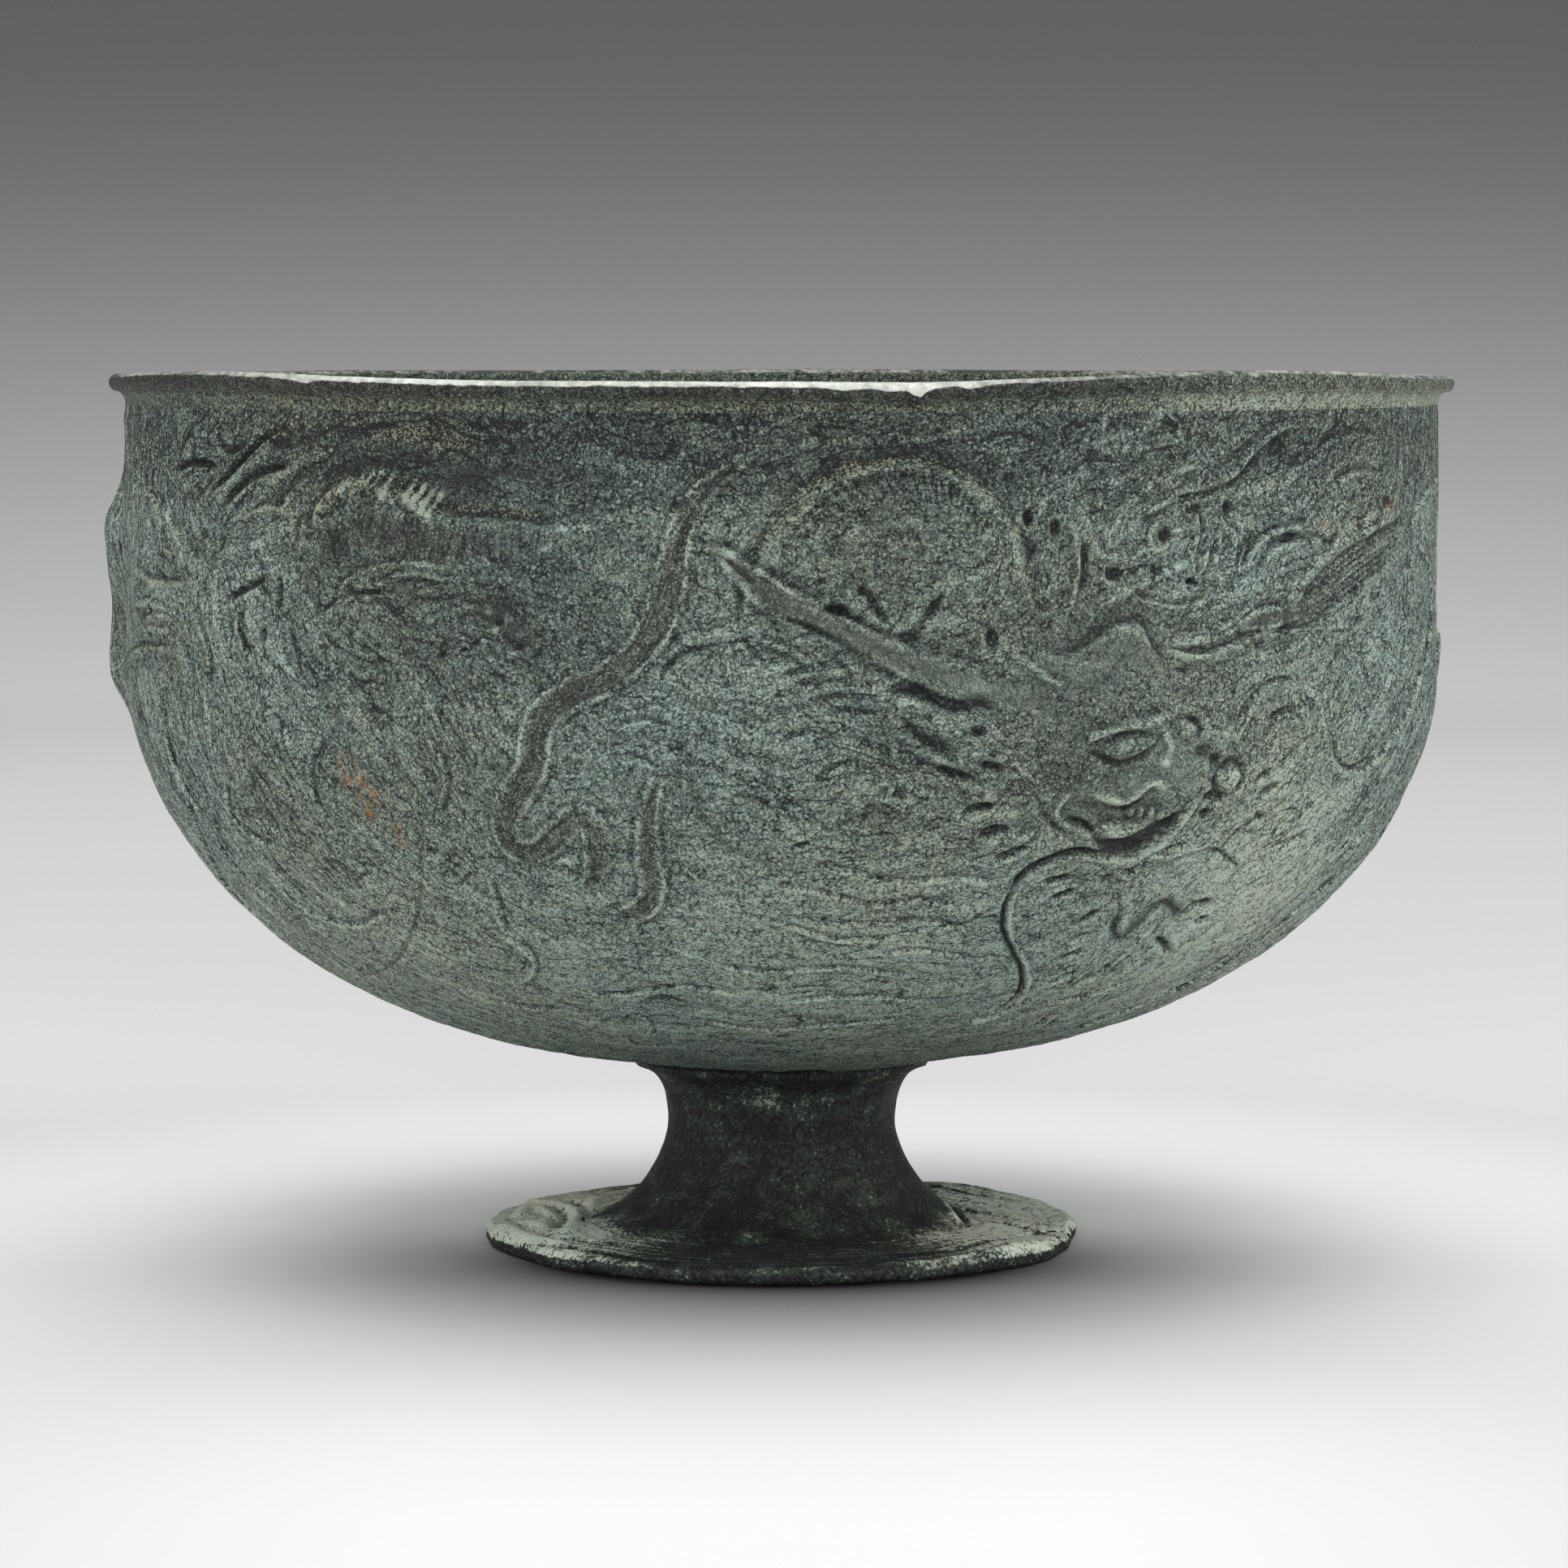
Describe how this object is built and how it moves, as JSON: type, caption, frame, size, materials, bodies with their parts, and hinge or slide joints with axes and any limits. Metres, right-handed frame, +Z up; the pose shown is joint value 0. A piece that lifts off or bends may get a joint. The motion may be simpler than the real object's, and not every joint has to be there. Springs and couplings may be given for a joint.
{
  "type": "footed libation cup",
  "caption": "Deep round metal cup with a turned-out rim on a waisted stem and spreading foot, for pouring or holding an offering of wine or water.",
  "frame": {"origin": "centre of the foot's flat underside, on the surface that the cup stands on", "axes": "+Z up along the cup's axis, the front faces -Y, +X to the right seen from the front"},
  "size_m": [0.125, 0.125, 0.0815],
  "materials": {
    "bowl_bronze": "cast bronze under a rough grey-green patina",
    "rim_bronze": "cast bronze, patinated below and rubbed bright along its top edge",
    "foot_bronze": "cast bronze under a dark brown-green patina",
    "rivet_bronze": "hammered bronze, darkened",
    "solder": "dull grey soft solder"
  },
  "bodies": {
    "root": {"bowl": "bowl_bronze", "rim_band": "rim_bronze", "rim_solder": "solder", "foot": "foot_bronze", "foot_solder": "solder", "foot_rivet": "rivet_bronze"}
  },
  "joints": []
}
